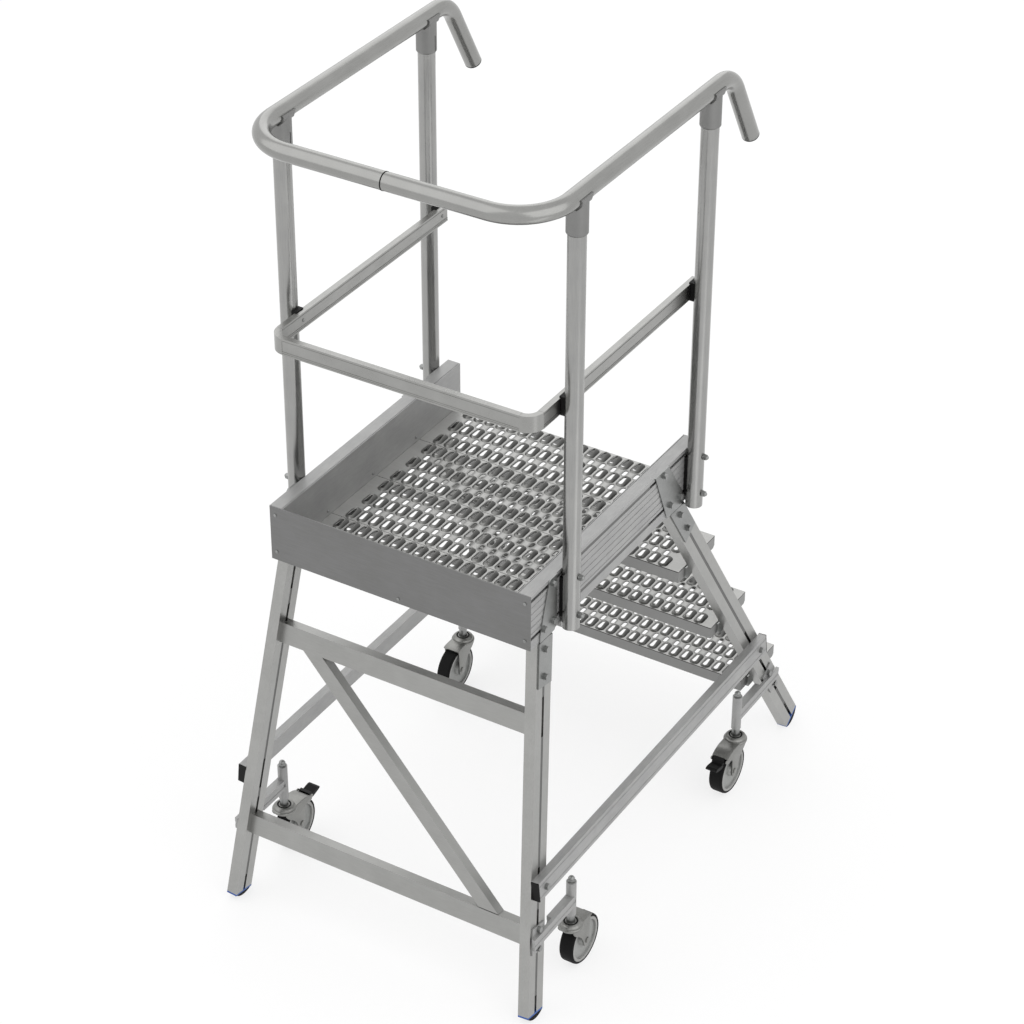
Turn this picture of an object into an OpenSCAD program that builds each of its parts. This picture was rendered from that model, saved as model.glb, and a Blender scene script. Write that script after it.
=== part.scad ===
// Mobile podium step: a railed work platform at the top of three treads.
// Two splayed legs and a welded end frame carry the closed end, two stiles carry
// the treads, and four sprung castors let the empty unit be rolled about.
// Drawing frame: X across, Y from the kick plate towards the treads, Z up.
// The finished unit is shifted along Y so that its base is centred on the origin.

/* [Platform] */
// Width over the outer faces of the two side rails
deck_w = 672; // [600:1:760]
// Length of the side rails
deck_l = 736; // [700:1:780]
// Height of the side rails
rail_h = 141; // [130:1:160]
// Thickness of the side rail profile
rail_t = 34; // [32:1:40]
// Width of the ledge that carries the planks
ledge_w = 24; // [18:1:32]
// Wall of the side rail profile
rail_wall = 3; // [2:0.5:4]
// Number of planks that fill the platform is four; this is the gap between them
plank_gap = 1.2; // [0.6:0.2:3]
// Sheet thickness of the planks and treads
sheet = 2; // [1.5:0.25:3]
// Thickness of the kick plate across the closed end
kick_t = 2.5; // [2:0.5:4]

/* [Steps] */
// Height of each of the four rises
rise = 240; // [225:1:250]
// Slope of the stair from the floor, in degrees
stair_angle = 60; // [57:0.5:63]
// Depth of a tread, nose to back
tread_d = 180; // [150:1:200]
// How far a nose stands out past the stile
nose_out = 71; // [55:1:85]
// Height of a tread's front face
tread_h = 33; // [28:1:40]
// Space between a tread's end and the stile, filled by its bracket
tread_gap = 5; // [3:0.5:8]

/* [Perforation] */
// Spacing of the holes across the unit
hole_pitch = 30.5; // [28:0.5:34]
// Spacing of the rows of holes
row_pitch = 33; // [30:0.5:34]
// Width of the long collared slots
hole_d = 19; // [15:0.5:20]
// Length of the long slots
hole_l = 40; // [30:1:41]
// Width of the short slots between them
pip_d = 10; // [8:0.5:11]
// Length of the short slots
pip_l = 22; // [14:1:24]
// Height of the raised collar round a long slot
collar_h = 4; // [2:0.5:6]
// Wall of the raised collars
collar_t = 1.4; // [1:0.1:1.6]
// Plain margin from a sheet's end to the first hole's centre
end_margin = 38; // [34:1:50]

/* [Legs and stiles] */
// Depth of the leg and stile profile
prof_d = 63; // [60:1:70]
// Thickness of the leg and stile profile
prof_t = 27; // [26:0.5:32]
// Outward splay of legs and stiles, in degrees
splay = 5.155; // [4:0.05:6]
// Backward lean of the legs, in degrees
lean = 10.15; // [8:0.05:12]
// Distance of a leg's front edge from the kick plate, under the rail
leg_inset = 28; // [20:1:36]
// Distance of a stile's upper edge from the rail's far end, under the rail
stile_inset = 53; // [45:1:60]
// Width of the slot mouth in every profile
slot_w = 8.5; // [7:0.5:10]
// Radius of the rounded rubber soles
sole_r = 47; // [42:1:54]
// Length of foot below the end of the metal, along the leg
foot_l = 16; // [14:0.5:18]
// Height of the coloured band of the foot plug
band_h = 4.5; // [3:0.5:6]

/* [Frame] */
// Height of the two cross beams
beam_h = 50; // [40:1:60]
// Depth of the cross beams and of the brace
beam_d = 27; // [22:1:32]
// Set-back of the end frame from the legs' front faces
beam_set = 18; // [12:1:20]
// Height of the upper beam's underside above the floor
upper_z = 705; // [660:1:730]
// Height of the lower beam's underside above the floor
lower_z = 189; // [175:1:205]
// Width of the diagonal brace
brace_w = 35; // [28:1:42]
// Height of the struts' underside above the floor
strut_z = 318; // [310:1:360]
// Height of the struts
strut_h = 50; // [40:1:60]
// Thickness of the struts
strut_t = 20; // [16:1:25]

/* [Guardrail] */
// Diameter of the guardrail tube
tube_d = 40; // [38:0.5:42]
// Wall of the guardrail tube
tube_wall = 2.5; // [2:0.5:4]
// Height of the handrail's centre above the platform
guard_h = 1011; // [900:1:1100]
// Space between the guardrail tube and the side rail
post_gap = 1; // [0.5:0.1:3]
// Distance of the near posts from the kick plate
post_near = 135; // [125:1:150]
// Distance of the far posts from the side rails' far end
post_back = 42; // [31:1:60]
// How far the closed end of the handrail stands out past the kick plate
front_out = 12; // [0:1:20]
// Radius of the handrail's two corners
corner_r = 118; // [90:1:119]
// Distance from the far posts to where the bent-down end would meet the rail
hook_run = 87; // [76:1:120]
// Length of the bent-down end beyond that point
hook_l = 212; // [160:1:240]
// Slope of the bent-down end, in degrees
hook_angle = 60; // [45:1:70]
// Radius of the bend at the far end
hook_r = 80; // [60:1:90]
// Height of the knee rail profile
knee_h = 40; // [32:1:50]
// Thickness of the knee rail profile
knee_t = 14; // [10:1:18]
// Height of the knee rail's centre above the platform
knee_z = 524; // [420:1:600]
// Radius of the knee rail's corners, on its outer side
knee_r = 38; // [30:1:60]
// Space between the knee rail and the posts
knee_gap = 4.5; // [3:0.5:6]

/* [Castors] */
// How far the castors stand inside the outer faces of the uprights
castor_in = 1.6; // [0:0.1:5]
// Length of the arms from the legs to the near castors
arm_near = 153.5; // [145:0.5:180]
// Length of the arms from the stiles to the far castors
arm_far = 175.5; // [150:0.5:190]
// Diameter of the castor wheels
wheel_d = 125; // [118:1:127]
// Width of the tyres
tyre_w = 36; // [28:1:38]
// Thickness of the tyres
tyre_t = 6.5; // [5:0.5:12]
// Distance of the axle behind the swivel
trail = 40; // [34:1:44]
// Diameter of the axle
axle_d = 12; // [10:0.5:14]
// Radial running clearance of the axle and of the swivel
run_gap = 0.08; // [0.04:0.01:0.1]
// Diameter of the castor tube
stem_tube_d = 24; // [22:0.5:26]
// Diameter of the sleeve that slides in it
sleeve_d = 20; // [16:0.5:20.5]
// Height of the castor tube's top above the floor
stem_top = 260; // [250:1:275]
// Height of an arm's underside above the floor
arm_z = 191; // [185:1:200]
// Height of the arms
arm_h = 31; // [24:1:36]
// Thickness of the arms
arm_t = 21; // [18:0.5:24]

/* [Fixings] */
// Thickness of the folded corner plates and clip plates
plate_t = 3; // [2:0.5:5]
// Diameter of the bolts
bolt_d = 8; // [6:0.5:8]
// Width over the flats of a bolt head
head_af = 13; // [10:0.5:14]

/* [Hidden] */
$fn = 48;
e = 0.01;
deck_z = 4 * rise;                     // walking surface
plank_h = 26 - rail_wall;              // folded depth of a plank
rail_z = deck_z - plank_h - rail_wall; // underside of the side rails
rail_x = deck_w / 2;                   // outer face of a side rail
wall_x = rail_x - rail_t;              // inner face of a side rail
slot_hi = rail_z + rail_h - 13;        // upper slot of a side rail
slot_lo = rail_z + 29;                 // lower slot of a side rail
tan_s = tan(splay);
foot_x = rail_x + rail_z * tan_s;      // outer face of the legs at the floor
rake = 90 - stair_angle;               // backward tilt of the stiles
leg_dy = tan(lean) / cos(splay);       // run of a leg for each unit of height
stile_dy = -tan(rake) / cos(splay);    // run of a stile for each unit of height
leg_dep = prof_d / cos(lean);          // level depth of a leg
stile_dep = prof_d / cos(rake);        // level depth of a stile
leg_mid0 = leg_inset + leg_dep / 2 - rail_z * leg_dy;
stile_mid0 = deck_l - stile_inset - stile_dep / 2 - rail_z * stile_dy;
metal_l = sole_r - foot_l;             // arc centre to the end of the metal
tube_r = tube_d / 2;
post_x = rail_x + post_gap + tube_r;   // posts and handrail arms
post_far = deck_l - post_back;
hand_z = deck_z + guard_h;
post_z = deck_z - 33;                  // lower end of the posts
sleeve_top = hand_z - tube_r - 19;     // top of the clamp sleeves
hook_y = post_far + hook_run;
knee_x = post_x - tube_r - knee_gap;   // outer face of the knee rail
knee_y = 17;                           // outer face of its closed end
knee_c = deck_z + knee_z;
knee_end = post_far + tube_r;
wheel_r = wheel_d / 2;
rim_r = wheel_r - tyre_t;
cheek_t = 3;
cheek_x = tyre_w / 2 + 1.2;            // inner face of a fork cheek
head_z = wheel_d + 1.5;                // underside of the fork's head
head_h = 14;
fork_top = head_z + head_h + 2;        // top of the seal ring
lift = 15;                             // travel of the sprung stem
tube_end = fork_top + 6 + lift;        // lower end of the castor tube
arm_mid = arm_z + arm_h / 2;
function leg_y(z) = leg_mid0 + z * leg_dy;
function stile_y(z) = stile_mid0 + z * stile_dy;
function slot_y(far, z) = far ? stile_y(z) : leg_y(z);
function tilt_of(far) = far ? rake : lean;
function outer_x(z) = foot_x - z * tan_s;
function inner_x(z) = outer_x(z) - prof_t / cos(splay);
castor_x = outer_x(arm_mid) - castor_in;
castor_near = leg_y(arm_mid) + arm_near;
castor_far = stile_y(arm_mid) - arm_far;
arm_x = castor_x + 1;                  // centre of an arm
reach = deck_w + deck_l;               // larger than any cut needs to be
function arc(cx, cy, r, a0, a1, n) =
    [for (i = [0:n]) [cx + r * cos(a0 + (a1 - a0) * i / n), cy + r * sin(a0 + (a1 - a0) * i / n)]];
// ends of the unit along Y, at the corners of the foot plugs
plug_drop = sqrt(pow(sole_r, 2) - pow(prof_d / 2, 2));
y_low = leg_y(sole_r) - plug_drop * sin(lean) - prof_d / 2 * cos(lean);
y_high = stile_y(sole_r) + plug_drop * sin(rake) + prof_d / 2 * cos(rake);
y_mid = (y_low + y_high) / 2;
treads = [1, 2, 3];
function tread_nose(i) = stile_y(i * rise) + stile_dep / 2 + nose_out;
function tread_half(i) = inner_x(i * rise) - tread_gap;

alu = "#a4a4a2";
steel = "#8e8e8c";
dark = "#6f6f6f";
black = "#1c1c1c";
band_blue = "#27477f";

// Helpers

// Centres the unit's base on the origin.
module unit() {
    translate([0, -y_mid, 0])
        children();
}

// Draws a right-hand shape on both sides.
module both() {
    children();
    mirror([1, 0, 0])
        children();
}

// Puts a right-hand shape on the side s, 1 for right and -1 for left.
module side(s) {
    mirror([s < 0 ? 1 : 0, 0, 0])
        children();
}

// A box given by its two opposite corners.
module box(a, b) {
    translate(a)
        cube(b - a);
}

// A flat outline in the YZ plane, made t thick from x outwards.
module plate_x(x, t) {
    translate([x, 0, 0])
        rotate([90, 0, 90])
            linear_extrude(t)
                children();
}

// A flat outline in the XZ plane, drawn from y0 to y1.
module along_y(y0, y1) {
    translate([0, y1, 0])
        rotate([90, 0, 0])
            linear_extrude(y1 - y0)
                children();
}

// A cylinder along X from x0 to x1.
module rod_x(x0, x1, y, z, d, fn = 48) {
    translate([x0, y, z])
        rotate([0, 90, 0])
            cylinder(h = x1 - x0, d = d, $fn = fn);
}

// The frame of a leg: X out of its outer face, Z along it, floor at zero.
module leg_frame() {
    translate([foot_x, leg_mid0, 0])
        rotate([0, -splay, 0])
            rotate([-lean, 0, 0])
                children();
}

// The frame of a stile, laid out the same way.
module stile_frame() {
    translate([foot_x, stile_mid0, 0])
        rotate([0, -splay, 0])
            rotate([rake, 0, 0])
                children();
}

// The frame of a leg, or of a stile where far is true.
module upright_frame(far) {
    if (far)
        stile_frame()
            children();
    else
        leg_frame()
            children();
}

// The frame of the splayed outer plane, with Y level.
module splay_frame() {
    translate([foot_x, 0, 0])
        rotate([0, -splay, 0])
            children();
}

// Everything between the inner faces of the legs.
module between_legs(y0, y1) {
    along_y(y0, y1)
        polygon([[-inner_x(0), 0], [inner_x(0), 0],
            [inner_x(deck_z), deck_z], [-inner_x(deck_z), deck_z]]);
}

// Hexagon bolt head on a washer, standing on the plane x = 0.
module bolt_head() {
    rotate([0, 90, 0]) {
        cylinder(h = 1.5, d = bolt_d * 2, $fn = 32);
        translate([0, 0, 1.5 - e])
            cylinder(h = 6, d = head_af / cos(30), $fn = 6);
    }
}

// Bolt head with its shank running back through a plate into a slot.
module bolt_x(deep) {
    bolt_head();
    rotate([0, -90, 0])
        translate([0, 0, -e])
            cylinder(h = deep + e, d = bolt_d, $fn = 24);
}

// Profiles

// Undercut slot with its mouth on the line x = 0, opening towards +X.
module slot_shape() {
    translate([-2.2, -slot_w / 2])
        square([2.2 + 1, slot_w]);
    translate([-8, -8])
        square([6, 16]);
}

// Leg and stile profile: two box cells and a slot in each wide face.
module leg_profile() {
    difference() {
        translate([-prof_t, -prof_d / 2])
            square([prof_t, prof_d]);
        for (s = [-1, 1])
            translate([-prof_t + 2.2, s > 0 ? 10.5 : -prof_d / 2 + 2.4])
                square([prof_t - 4.4, prof_d / 2 - 12.9]);
        slot_shape();
        translate([-prof_t, 0])
            mirror([1, 0])
                slot_shape();
    }
}

// Side rail profile in X and Z, outer face on the line x = rail_x.
module rail_profile() {
    top = rail_z + rail_h;
    difference() {
        union() {
            translate([wall_x, rail_z])
                square([rail_t, rail_h]);
            translate([wall_x - ledge_w, rail_z])
                square([ledge_w + e, rail_wall]);
        }
        // three cells, parted by the two slots
        translate([wall_x + rail_wall, rail_z + rail_wall])
            square([rail_t - 2 * rail_wall, slot_lo - rail_z - 11 - rail_wall]);
        translate([wall_x + rail_wall, slot_lo + 11])
            square([rail_t - 2 * rail_wall, slot_hi - slot_lo - 22]);
        for (z = [slot_lo, slot_hi])
            translate([rail_x, z])
                slot_shape();
        // groove beside the flange and shallow ribs on the outer face
        translate([wall_x + 1.8, top - 1.2])
            square([1.6, 2]);
        for (i = [0:4])
            translate([rail_x - 0.8, slot_lo + 15 + i * (slot_hi - slot_lo - 30) / 4 - 3])
                square([1, 6]);
    }
}

// Knee rail profile: x from 0 at the outer face to knee_t, y centred.
module knee_profile() {
    difference() {
        translate([0, -knee_h / 2])
            square([knee_t, knee_h]);
        for (x = [-1, knee_t - 1])
            translate([x, -knee_h / 2 + 8])
                square([2, knee_h - 16]);
        for (x = [-1, knee_t - 0.8], z = [-1, 1])
            translate([x, z * (knee_h / 2 - 5) - 0.9])
                square([1.8, 1.8]);
        translate([3, -knee_h / 2 + 3])
            square([knee_t - 6, knee_h - 6]);
    }
}

// Corner piece between two knee rail lengths, a little slimmer than they are.
module knee_corner() {
    difference() {
        translate([0.3, 0.3 - knee_h / 2])
            square([knee_t - 0.6, knee_h - 0.6]);
        translate([2.7, 2.7 - knee_h / 2])
            square([knee_t - 5.4, knee_h - 5.4]);
    }
}

// Sheets

// Slot with round ends, w wide and l long in Y.
module slot_outline(w, l, fn) {
    square([w, l - w], center = true);
    for (m = [-1, 1])
        translate([0, m * (l - w) / 2])
            circle(d = w, $fn = fn);
}

// Outlines of all slots of one size class in a sheet of length l, grown by g.
module slot_rows(l, small, g = 0) {
    n = floor((l - 2 * end_margin) / hole_pitch) + 1;
    m = small ? n - 1 : n;
    for (r = small ? [-1, 1] : [-2, 0, 2], i = [0:m - 1])
        translate([(i - (m - 1) / 2) * hole_pitch, r * row_pitch])
            slot_outline((small ? pip_d : hole_d) + 2 * g, (small ? pip_l : hole_l) + 2 * g, small ? 16 : 24);
}

// Perforated walking sheet: l long, w wide, its top on z = 0, with raised collars.
module walking_sheet(l, w) {
    translate([0, 0, -sheet])
        linear_extrude(sheet)
            difference() {
                translate([-l / 2, -w / 2])
                    square([l, w]);
                slot_rows(l, false);
                slot_rows(l, true);
            }
    translate([0, 0, -sheet])
        linear_extrude(sheet + collar_h)
            difference() {
                slot_rows(l, false, collar_t);
                slot_rows(l, false);
            }
}

plank_w = (deck_l - kick_t - 4 * plank_gap) / 4;
function plank_y(i) = kick_t + plank_gap + (plank_w + plank_gap) * (i - 0.5);

// Platform plank with two folded edges that stand on the rail ledges.
module plank(i) {
    l = 2 * (wall_x - 0.4);
    color(alu)
        translate([0, plank_y(i), deck_z]) {
            walking_sheet(l, plank_w);
            for (s = [-1, 1])
                box([-l / 2, s > 0 ? plank_w / 2 - sheet : -plank_w / 2, -plank_h],
                    [l / 2, s > 0 ? plank_w / 2 : -plank_w / 2 + sheet, -sheet + e]);
        }
}

// Tread: perforated top, closed nose with a chamfered underside, back apron and end plates.
module tread(i) {
    h = tread_half(i);
    y = tread_nose(i);
    color(alu)
        translate([0, 0, i * rise]) {
            translate([0, y - tread_d / 2, 0])
                walking_sheet(2 * h, tread_d);
            plate_x(-h, 2 * h)
                polygon([[y - sheet, -sheet + e], [y, -sheet + e], [y, -tread_h + 6],
                    [y - 6, -tread_h], [y - 16, -tread_h], [y - 16, -tread_h + sheet],
                    [y - 7, -tread_h + sheet], [y - sheet, -tread_h + 7]]);
            box([-h, y - tread_d, -tread_h + 2], [h, y - tread_d + sheet, -sheet + e]);
            for (s = [-1, 1])
                side(s)
                    plate_x(h - sheet, sheet)
                        polygon([[y - e, -e], [y - e, -tread_h + 6], [y - 6, -tread_h],
                            [y - 40, -tread_h], [y - tread_d + e, -tread_h + 2], [y - tread_d + e, -e]]);
        }
}

// Platform

module side_rail(s) {
    color(alu)
        side(s)
            difference() {
                along_y(kick_t, deck_l)
                    rail_profile();
                for (z = [slot_lo, slot_hi])
                    rod_x(wall_x - 1, rail_x - 4, kick_t + 12, z, 3.4, 16);
            }
}

module kick_plate() {
    color(dark)
        box([-rail_x, 0, rail_z], [rail_x, kick_t, rail_z + rail_h]);
}

// Strip that fills a slot mouth: 1.6 thick, set back 0.4 from the face x = 0.
module cover(y0, y1) {
    box([-2, y0, -slot_w / 2 + 0.1], [-0.4, y1, slot_w / 2 - 0.1]);
}

// Cover strip between two heights of a leg or stile frame.
module upright_cover(z0, z1) {
    for (x = [-2, -prof_t + 0.4])
        box([x, -slot_w / 2 + 0.1, z0 / cos(splay)], [x + 1.6, slot_w / 2 - 0.1, z1 / cos(splay)]);
}

module slot_covers() {
    color(alu)
        both() {
            for (z = [slot_lo, slot_hi])
                translate([rail_x, 0, z]) {
                    cover(post_near + 30, gusset_y - 20);
                }
            leg_frame()
                for (h = [[60, lower_z - 12], [lower_z + beam_h + 40, strut_z - 15],
                        [strut_z + strut_h + 15, upper_z - 5], [upper_z + beam_h + 40, rail_z - 100]])
                    upright_cover(h[0] / cos(lean), h[1] / cos(lean));
            stile_frame()
                for (h = [[80, arm_z - 40], [strut_z + strut_h + 45, rail_z - 90]])
                    upright_cover(h[0] / cos(rake), h[1] / cos(rake));
        }
}

// Low round screw head standing on the plane x = 0.
module screw_x() {
    rotate([0, 90, 0]) {
        cylinder(h = 1.2, d = 8, $fn = 24);
        translate([0, 0, 1.2 - e])
            cylinder(h = 1, d1 = 6.5, d2 = 4, $fn = 24);
    }
}

module deck_screws() {
    color(steel) {
        both() {
            for (z = [rail_z + 22, rail_z + rail_h - 22])
                translate([rail_x - 14, 0, z])
                    rotate([0, 0, -90])
                        screw_x();
            for (i = [1:4])
                translate([wall_x, plank_y(i) + plank_w / 2 - 12, deck_z + 12])
                    rotate([0, 0, 180])
                        screw_x();
            for (i = treads)
                translate([tread_half(i) - 20, tread_nose(i) - 42, i * rise])
                    rotate([0, -90, 0])
                        screw_x();
        }
        translate([0, 0, rail_z + 12])
            rotate([0, 0, -90])
                screw_x();
    }
}

// Guardrail

// Cross-section of the guardrail tube; a bend is drawn down by slip.
module tube_ring(slip = 0) {
    difference() {
        circle(r = tube_r - slip);
        circle(r = tube_r - tube_wall - slip);
    }
}

// Half of the handrail: front run, corner, arm and bent-down end.
module handrail(s) {
    cy = corner_r - front_out;
    straight = hook_r * tan(hook_angle / 2);
    lap = 0.6;
    slip = 0.06;
    color(alu)
        side(s)
            translate([0, 0, hand_z]) {
                translate([0.2, -front_out, 0])
                    rotate([90, 0, 90])
                        linear_extrude(post_x - corner_r - 0.2 + lap)
                            tube_ring();
                translate([post_x - corner_r, cy, 0])
                    rotate([0, 0, -90])
                        rotate_extrude(angle = 90)
                            translate([corner_r, 0])
                                tube_ring(slip);
                translate([post_x, cy - lap, 0])
                    rotate([-90, 0, 0])
                        linear_extrude(hook_y - straight - cy + 2 * lap)
                            tube_ring();
                translate([post_x, hook_y - straight, -hook_r])
                    rotate([90, 0, 90])
                        rotate([0, 0, 90 - hook_angle])
                            rotate_extrude(angle = hook_angle)
                                translate([hook_r, 0])
                                    tube_ring(slip);
                translate([post_x, hook_y, 0])
                    rotate([-90 - hook_angle, 0, 0])
                        translate([0, 0, straight - lap])
                            linear_extrude(hook_l - straight + lap)
                                tube_ring();
            }
}

// Seam ring in the middle of the closed end, and a plug in each bent-down end.
module handrail_fittings() {
    color(black) {
        translate([-1.2, -front_out, hand_z])
            rotate([0, 90, 0])
                difference() {
                    cylinder(h = 2.4, d = tube_d + 1.2);
                    translate([0, 0, -1])
                        cylinder(h = 5, d = tube_d + 0.1);
                }
        both()
            translate([post_x, hook_y, hand_z])
                rotate([-90 - hook_angle, 0, 0])
                    translate([0, 0, hook_l - 12]) {
                        cylinder(h = 12 + e, d = tube_d - 2 * tube_wall - 0.2);
                        translate([0, 0, 12])
                            cylinder(h = 3, d = tube_d);
                        translate([0, 0, 15 - e])
                            cylinder(h = 1.5, d1 = tube_d - 2, d2 = tube_d - 6);
                    }
    }
}

module post(s, y) {
    color(alu)
        side(s)
            difference() {
                translate([post_x, y, post_z])
                    cylinder(h = hand_z - tube_r - 1 - post_z, d = tube_d);
                translate([post_x, y, post_z - 1])
                    cylinder(h = hand_z - post_z, d = tube_d - 2 * tube_wall);
                for (z = [slot_lo, slot_hi])
                    rod_x(post_x - tube_d, post_x + tube_d, y, z, bolt_d + 0.4, 24);
                rod_x(post_x - tube_d, post_x, y, knee_c, 5.4, 24);
            }
}

// Clamp that joins a post to the handrail: slit sleeve below, saddle above.
module tee_clamp(y) {
    r = tube_r + 3.5;
    translate([post_x, y, 0])
        difference() {
            union() {
                translate([0, 0, sleeve_top - 44])
                    cylinder(h = 3, r1 = r - 2, r2 = r);
                translate([0, 0, sleeve_top - 41 - e])
                    cylinder(h = hand_z - sleeve_top + 41, r = r);
                translate([0, -27, hand_z])
                    rotate([-90, 0, 0])
                        cylinder(h = 54, r = r);
            }
            // bores for the post and for the handrail, open above mid height
            translate([0, 0, sleeve_top - 50])
                cylinder(h = hand_z - tube_r - sleeve_top + 49.1, d = tube_d + 0.04);
            translate([0, -40, hand_z])
                rotate([-90, 0, 0])
                    cylinder(h = 80, d = tube_d + 0.04);
            box([-40, -40, hand_z + 4], [40, 40, hand_z + 40]);
            // curved ears: the saddle narrows towards its upper edges
            for (s = [-1, 1])
                translate([-40, s * 36, hand_z - 6])
                    rotate([0, 90, 0])
                        cylinder(h = 80, r = 16);
            // slit of the sleeve
            box([-40, -1.2, sleeve_top - 50], [0, 1.2, sleeve_top - 2]);
        }
}

module tee_clamps() {
    color(alu)
        both()
            for (y = [post_near, post_far])
                tee_clamp(y);
}

module knee_rail() {
    lap = 0.6;
    color(alu)
        difference() {
            knee_run(lap);
            both()
                for (y = [post_near, post_far])
                    rod_x(knee_x - knee_t - 1, knee_x + 1, y, knee_c, 5.4, 24);
        }
}

// The rail without its screw holes; lap is how far its lengths enter the corners.
module knee_run(lap) {
    translate([0, 0, knee_c]) {
        both() {
            translate([knee_x - knee_r, knee_y + knee_r, 0])
                rotate([0, 0, -90])
                    rotate_extrude(angle = 90)
                        translate([knee_r, 0])
                            mirror([1, 0])
                                knee_corner();
            translate([knee_x, knee_end, 0])
                rotate([90, 0, 0])
                    linear_extrude(knee_end - knee_y - knee_r + lap)
                        mirror([1, 0])
                            knee_profile();
        }
        translate([-knee_x + knee_r - lap, knee_y, 0])
            rotate([90, 0, 90])
                linear_extrude(2 * (knee_x - knee_r + lap))
                    knee_profile();
    }
}

// Black saddle between the knee rail and a post, lipped over the rail's edges.
module knee_clips() {
    color(black)
        both()
            for (y = [post_near, post_far])
                difference() {
                    union() {
                        box([knee_x, y - 13, knee_c - knee_h / 2 - 2.5],
                            [post_x - tube_r * 0.72, y + 13, knee_c + knee_h / 2 + 2.5]);
                        for (z = [-knee_h / 2 - 2.5, knee_h / 2 + 0.05])
                            box([knee_x - 4, y - 13, knee_c + z], [knee_x + e, y + 13, knee_c + z + 2.45]);
                    }
                    translate([post_x, y, knee_c - 50])
                        cylinder(h = 100, d = tube_d + 0.04);
                    rod_x(knee_x - 1, post_x, y, knee_c, 5.4, 24);
                }
}

// Black strip between a post and the side rail, hollowed to the tube.
module post_pads() {
    color(black)
        both()
            for (y = [post_near, post_far])
                difference() {
                    box([rail_x, y - 15, rail_z + 20], [post_x - tube_r * 0.66, y + 15, rail_z + 123]);
                    translate([post_x, y, rail_z])
                        cylinder(h = 200, d = tube_d + 0.04);
                    for (z = [slot_lo, slot_hi])
                        rod_x(rail_x - 5, post_x, y, z, bolt_d + 0.4, 24);
                }
}

// Cap nuts and bolts through the posts, and the knee rail's screws.
module post_bolts() {
    color(steel)
        both()
            for (y = [post_near, post_far]) {
                for (z = [slot_lo, slot_hi]) {
                    rod_x(rail_x - 6, post_x + tube_r + 1, y, z, bolt_d, 24);
                    rod_x(post_x + tube_r, post_x + tube_r + 1.5, y, z, 15, 32);
                    rod_x(post_x + tube_r + 1.5 - e, post_x + tube_r + 7.5, y, z, head_af / cos(30), 6);
                    translate([post_x + tube_r + 7.5, y, z])
                        sphere(d = 10.5, $fn = 32);
                }
                rod_x(knee_x - knee_t, post_x - tube_r + 4, y, knee_c, 5, 24);
                translate([knee_x - knee_t + 0.95, y, knee_c])
                    rotate([0, 0, 180])
                        screw_x();
            }
}

// Carrying frame

// Leg: square-cut foot, upper end cut level under the side rail.
module leg(s) {
    color(alu)
        side(s)
            difference() {
                leg_frame()
                    translate([0, 0, sole_r / (cos(lean) * cos(splay)) - metal_l])
                        linear_extrude(reach)
                            leg_profile();
                box([0, -reach, rail_z], [reach, reach, rail_z + reach]);
            }
}

module stile(s) {
    color(alu)
        side(s)
            difference() {
                stile_frame()
                    translate([0, 0, sole_r / (cos(rake) * cos(splay)) - metal_l])
                        linear_extrude(reach)
                            leg_profile();
                box([0, -reach, rail_z], [reach, 2 * reach, rail_z + reach]);
            }
}

// Beam between the legs, tilted with them; z is its underside at the front.
module cross_beam(z) {
    color(alu)
        intersection() {
            translate([0, leg_y(z) - leg_dep / 2, z])
                rotate([-lean, 0, 0])
                    difference() {
                        box([-foot_x, beam_set, 0], [foot_x, beam_set + beam_d, beam_h]);
                        box([-foot_x - 1, beam_set + 2, 2], [foot_x + 1, beam_set + beam_d - 2, beam_h - 2]);
                    }
            between_legs(-reach, reach);
        }
}

// Flat tube from the upper beam's left end to the lower beam's right end.
module diagonal_brace() {
    x0 = -inner_x(upper_z) + 89;
    x1 = inner_x(lower_z + beam_h) - 94;
    run = x1 - x0;
    fall = (upper_z - lower_z - beam_h) / cos(lean);
    color(alu)
        translate([0, leg_y(upper_z) - leg_dep / 2, upper_z])
            rotate([-lean, 0, 0])
                intersection() {
                    translate([x0, beam_set + 1, 0])
                        rotate([0, atan2(fall, run), 0])
                            difference() {
                                box([-80, 0, -brace_w / 2], [reach, beam_d - 2, brace_w / 2]);
                                box([-81, 2, -brace_w / 2 + 2], [reach + 1, beam_d - 4, brace_w / 2 - 2]);
                            }
                    box([-foot_x, -50, -fall], [foot_x, 100, 0]);
                }
}

module struts() {
    color(alu)
        both()
            splay_frame()
                difference() {
                    box([0, strut_y0, strut_z / cos(splay)],
                        [strut_t, strut_y1, strut_z / cos(splay) + strut_h]);
                    box([2, strut_y0 - 1, strut_z / cos(splay) + 2],
                        [strut_t - 2, strut_y1 + 1, strut_z / cos(splay) + strut_h - 2]);
                    // shallow grooves along the outer face
                    for (z = [10, strut_h - 10])
                        box([strut_t - 0.7, strut_y0 - 1, strut_z / cos(splay) + z - 1],
                            [strut_t + 1, strut_y1 + 1, strut_z / cos(splay) + z + 1]);
                    for (y = [leg_y(strut_z + strut_h / 2), stile_y(strut_z + strut_h / 2)])
                        rod_x(-1, strut_t + 1, y, strut_z / cos(splay) + strut_h / 2, bolt_d + 0.4, 24);
                }
}

strut_y0 = leg_y(strut_z) - leg_dep / 2 + 9;
strut_y1 = stile_y(strut_z + strut_h) + stile_dep / 2 + 8;

module strut_caps() {
    color(black)
        both()
            splay_frame()
                for (s = [-1, 1]) {
                    y = s < 0 ? strut_y0 : strut_y1;
                    box([0, s < 0 ? y - 2.5 : y, strut_z / cos(splay)],
                        [strut_t, s < 0 ? y : y + 2.5, strut_z / cos(splay) + strut_h]);
                    box([2.1, s < 0 ? y - e : y - 12, strut_z / cos(splay) + 2.1],
                        [strut_t - 2.1, s < 0 ? y + 12 : y + e, strut_z / cos(splay) + strut_h - 2.1]);
                }
}

// Feet

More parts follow.
